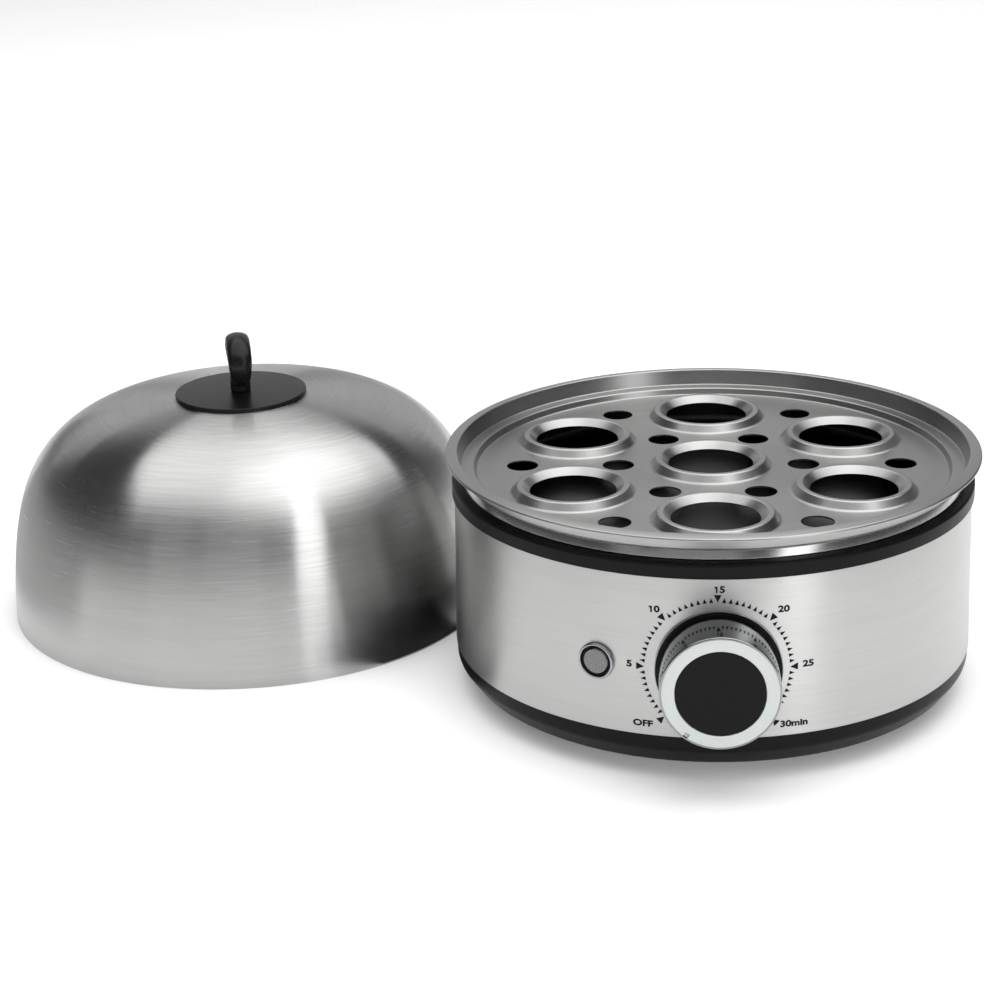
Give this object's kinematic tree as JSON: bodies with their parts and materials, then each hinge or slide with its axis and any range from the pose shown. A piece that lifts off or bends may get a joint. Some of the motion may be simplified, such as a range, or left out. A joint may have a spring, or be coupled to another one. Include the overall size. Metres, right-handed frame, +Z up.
{
  "type": "egg cooker",
  "caption": "Electric egg cooker: round steel steam base with timer knob, lift-out egg tray with raised seats, and a domed steel lid with a finger ring standing beside it.",
  "frame": {"origin": "on the table, under the centre of the round base", "axes": "+Z up, the knob faces -Y, the lid stands towards -X"},
  "size_m": [0.3296, 0.2486, 0.0961],
  "materials": {
    "black_plastic": "satin",
    "rubber": "matt",
    "brushed_steel": "brushed",
    "zinc_steel": "plated",
    "chrome": "polished",
    "aluminium": "satin",
    "grey_lens": "moulded lattice",
    "clear_glass": "clear",
    "brass": "plain",
    "moulded_plastic": "moulded",
    "fuse_white": "woven sleeve",
    "wire_sleeve": "silicone"
  },
  "bodies": {
    "base": {"base_tub": "black_plastic", "foot_front": "rubber", "foot_right": "rubber", "foot_back": "rubber", "foot_left": "rubber", "skirt_shell": "brushed_steel", "rim_ring": "black_plastic", "heating_bowl": "brushed_steel", "bowl_gasket": "rubber", "bowl_posts": "zinc_steel", "tub_screws": "zinc_steel", "dial_bezel": "black_plastic", "timer_housing": "moulded_plastic", "timer_tabs": "brass", "timer_screws": "zinc_steel", "lamp_bezel": "chrome", "lamp_lens": "grey_lens", "neon_lamp": "clear_glass", "lamp_clip": "zinc_steel", "cord_gland": "black_plastic", "gland_nut": "black_plastic", "heat_spreader": "aluminium", "heater_ring": "aluminium", "thermostat": "moulded_plastic", "thermostat_clip": "zinc_steel", "thermal_fuse": "fuse_white", "fuse_sleeve": "fuse_white", "fuse_clip": "zinc_steel", "clip_screws": "zinc_steel", "terminal_block": "moulded_plastic", "wire_live": "wire_sleeve", "wire_timer_to_thermostat": "wire_sleeve", "wire_thermostat_to_heater": "wire_sleeve", "wire_heater_to_fuse": "wire_sleeve", "wire_neutral": "wire_sleeve", "wire_lamp_to_timer": "wire_sleeve", "wire_lamp_to_block": "wire_sleeve"},
    "tray": {"egg_tray": "brushed_steel"},
    "lid": {"lid_dome": "brushed_steel", "lid_disc": "black_plastic", "lid_handle": "black_plastic", "lid_washer": "zinc_steel", "lid_screw": "zinc_steel"},
    "knob": {"knob_shell": "chrome", "knob_ring": "aluminium", "knob_cap": "black_plastic", "timer_shaft": "zinc_steel"}
  },
  "joints": [
    {"name": "lid_lift", "type": "slide", "parent": "base", "child": "lid", "axis": [0, 0, 1], "range_m": [0, 0.15]},
    {"name": "tray_lift", "type": "slide", "parent": "base", "child": "tray", "axis": [0, 0, 1], "range_m": [0, 0.12]},
    {"name": "timer_turn", "type": "hinge", "parent": "base", "child": "knob", "pos_m": [0, -0.09, 0.036], "axis": [0, 1, 0], "range_deg": [0, 278]}
  ]
}
